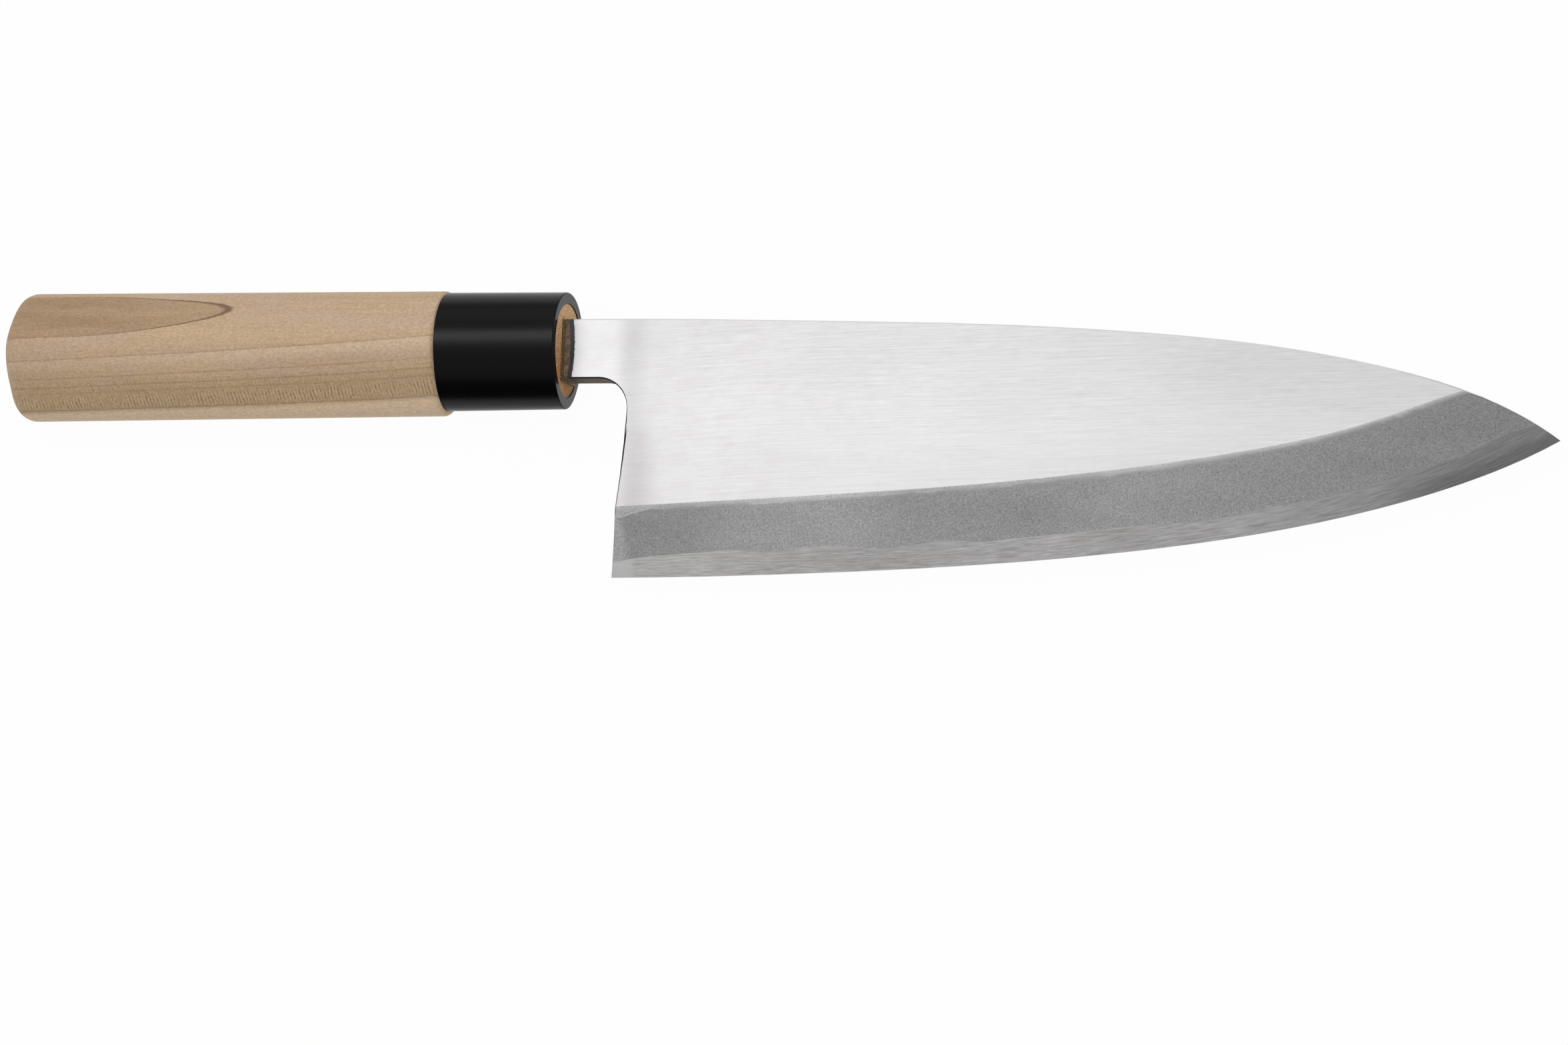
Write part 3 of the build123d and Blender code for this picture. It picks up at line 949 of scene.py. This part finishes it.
ferruleLooks = {
    "black": tone(5, 5, 5),
    "worn": tone(13, 13, 13),
    "wornLimits": (0.42, 0.70, 0.0, 0.5),
    "speck": ((0.34, 0.30, 0.30), 2, 0.6),
    "turningMarks": ((0.25, 14, 14), 2, 0.5),
    "turningHeight": 0.4,
    "roughness": 0.28,
    "roughnessSpread": 0.12,
    "endRoughness": 0.16,
    "endFaces": (0.80, 0.96),
    "gloss": 0.19,
    "reliefDepth": 0.005,
}


def ferruleFinish():
    looks = ferruleLooks
    made, tree, shader = startFinish("satin black collar")
    spot = place(tree)[0]
    nx = facing(tree)[0]
    speck = grain(tree, spot, *looks["speck"])
    surface = mixTone(tree, fade(tree, speck, *looks["wornLimits"]), looks["black"], looks["worn"])
    feed(tree, shader.inputs["Base Color"], surface)
    shader.inputs["Specular IOR Level"].default_value = looks["gloss"]
    satin = varied(tree, looks["roughness"], speck, looks["roughnessSpread"])
    smooth = mixNumber(tree, fade(tree, nx, *looks["endFaces"]), satin, looks["endRoughness"])
    feed(tree, shader.inputs["Roughness"], smooth)
    turning = times(tree, grain(tree, spot, *looks["turningMarks"]), looks["turningHeight"])
    feed(tree, shader.inputs["Normal"], relief(tree, plus(tree, speck, turning), looks["reliefDepth"]))
    return made


dress("handle_wood", woodFinish())
dress("ferrule", ferruleFinish())
dress("tang_bedding", resinFinish())
dress("ferrule_glue", glueFinish())
print("handle finished")


# floor, light and camera

studioLooks = {
    "floorSize": 30.0,
    "floorTone": 0.90,
    "floorRoughness": 0.9,
    "floorGlow": 0.97,
    "worldStrength": 0.41,
    # the lights aim at a place this far from home, and the card is centred on it
    "aim": (0.04, -0.015, 0.0),
    # where each softbox stands as seen from that place, how far, how large and how bright
    "softboxes": {
        "strip_softbox": ((-0.30, 0.218, 0.93), 1.3, (1.8, 0.30), 3.6),
        "spine_softbox": ((0.10, 0.80, 0.60), 1.6, (2.0, 0.9), 0.45),
        "tip_softbox": ((0.90, 0.10, 0.45), 1.6, (0.9, 0.9), 0.5),
    },
    # a dark card beside the cutting edge, standing on the floor, that only reflections see
    "cardPlace": (0.0, -0.27, 0.0),
    "cardSize": (1.2, 0.26),
    "cardTone": 0.02,
}


def pointedAt(away, toward, target):
    # a matrix whose -Z looks from its place at the target, with its long side along the knife
    ray = Vector(toward).normalized()
    along = (Vector((1, 0, 0)) - ray * ray.x).normalized()
    across = ray.cross(along)
    turn = Matrix((along, across, ray)).transposed()
    return Matrix.Translation(target + ray * away) @ turn.to_4x4()


def mattFinish(name, grey, roughness):
    made, tree, shader = startFinish(name)
    shader.inputs["Base Color"].default_value = (grey, grey, grey, 1)
    shader.inputs["Roughness"].default_value = roughness
    shader.inputs["Specular IOR Level"].default_value = 0.0
    return made, tree, shader


def addPlane(name, size, made):
    bpy.ops.object.select_all(action="DESELECT")
    bpy.ops.mesh.primitive_plane_add(size=size, location=(0, 0, 0))
    plane = bpy.context.object
    plane.name = name
    plane.data.materials.append(made)
    return plane


def makeFloor():
    looks = studioLooks
    made, tree, shader = mattFinish("white floor", looks["floorTone"], looks["floorRoughness"])
    out = shader.outputs["BSDF"].links[0].to_node
    # the camera and reflections see it white, and all other light sees a matt floor
    glow = tree.nodes.new("ShaderNodeEmission")
    glow.inputs["Strength"].default_value = 1.0
    mix = tree.nodes.new("ShaderNodeMixShader")
    rays = tree.nodes.new("ShaderNodeLightPath").outputs
    seen = plus(tree, rays["Is Camera Ray"], rays["Is Glossy Ray"], rays["Is Transmission Ray"])
    feed(tree, mix.inputs[0], times(tree, calc(tree, "MINIMUM", seen, 1.0), looks["floorGlow"]))
    tree.links.new(shader.outputs["BSDF"], mix.inputs[1])
    tree.links.new(glow.outputs[0], mix.inputs[2])
    # seen from below the floor is clear, so that the knife's back can be looked at
    clear = tree.nodes.new("ShaderNodeBsdfTransparent")
    whichSide = tree.nodes.new("ShaderNodeNewGeometry")
    either = tree.nodes.new("ShaderNodeMixShader")
    tree.links.new(whichSide.outputs["Backfacing"], either.inputs[0])
    tree.links.new(mix.outputs[0], either.inputs[1])
    tree.links.new(clear.outputs[0], either.inputs[2])
    tree.links.new(either.outputs[0], out.inputs["Surface"])
    floor = addPlane("floor", looks["floorSize"], made)


def makeWorld():
    world = bpy.data.worlds.new("pale room")
    world.use_nodes = True
    background = world.node_tree.nodes["Background"]
    background.inputs["Color"].default_value = (1, 1, 1, 1)
    background.inputs["Strength"].default_value = studioLooks["worldStrength"]
    bpy.context.scene.world = world


def makeSoftbox(name, toward, away, size, brightness, target):
    wide, tall = size
    lamp = bpy.data.lights.new(name, "AREA")
    lamp.shape = "RECTANGLE"
    lamp.size = wide
    lamp.size_y = tall
    # a lamp of this area shines this bright when its power is brightness x area x pi
    lamp.energy = brightness * wide * tall * math.pi
    softbox = bpy.data.objects.new(name, lamp)
    softbox.matrix_world = pointedAt(away, toward, target)
    softbox.visible_camera = False
    bpy.context.scene.collection.objects.link(softbox)


def makeCard(middle):
    looks = studioLooks
    wide, tall = looks["cardSize"]
    card = addPlane("dark_card", 1, mattFinish("dark card", looks["cardTone"], 1.0)[0])
    standing = Matrix.Rotation(math.radians(90), 4, "X")
    seat = Vector(looks["cardPlace"]) + Vector((middle.x, middle.y, tall / 2))
    card.matrix_world = Matrix.Translation(seat) @ standing @ Matrix.Diagonal((wide, tall, 1, 1))
    card.visible_camera = False
    card.visible_diffuse = False
    card.visible_shadow = False


def makeLights():
    middle = home + Vector(studioLooks["aim"])
    makeWorld()
    for name, (toward, away, size, brightness) in studioLooks["softboxes"].items():
        makeSoftbox(name, toward, away, size, brightness, middle)
    makeCard(middle)


cameraLooks = {
    "lens": 109.29,
    "sensor": 36.0,
    "away": 1.0451,
    "turn": 17.52,   # towards the tip
    "lower": 7.5,    # below the axis, towards the cutting edge
    "roll": 2.43,
    "looksAt": (0.05241, -0.03872, 0.0),
    "clip": (0.02, 100),
}


def makeCamera():
    looks = cameraLooks
    turn, lower, roll = (math.radians(looks[key]) for key in ("turn", "lower", "roll"))
    out = Vector((math.sin(turn) * math.cos(lower), -math.sin(lower), math.cos(turn) * math.cos(lower)))
    right = (-out).cross(Vector((0, 1, 0))).normalized()
    up = right.cross(-out)
    rightRolled = right * math.cos(roll) + up * math.sin(roll)
    upRolled = up * math.cos(roll) - right * math.sin(roll)
    seat = home + Vector(looks["looksAt"]) + out * looks["away"]
    lens = bpy.data.cameras.new("camera")
    lens.lens = looks["lens"]
    lens.sensor_width = looks["sensor"]
    lens.sensor_fit = "HORIZONTAL"
    lens.clip_start, lens.clip_end = looks["clip"]
    camera = bpy.data.objects.new("camera", lens)
    camera.matrix_world = Matrix((
        (rightRolled.x, upRolled.x, out.x, seat.x),
        (rightRolled.y, upRolled.y, out.y, seat.y),
        (rightRolled.z, upRolled.z, out.z, seat.z),
        (0, 0, 0, 1),
    ))
    bpy.context.scene.collection.objects.link(camera)
    bpy.context.scene.camera = camera


makeFloor()
makeLights()
makeCamera()
bpy.context.scene.view_settings.view_transform = "Standard"
print("studio ready")
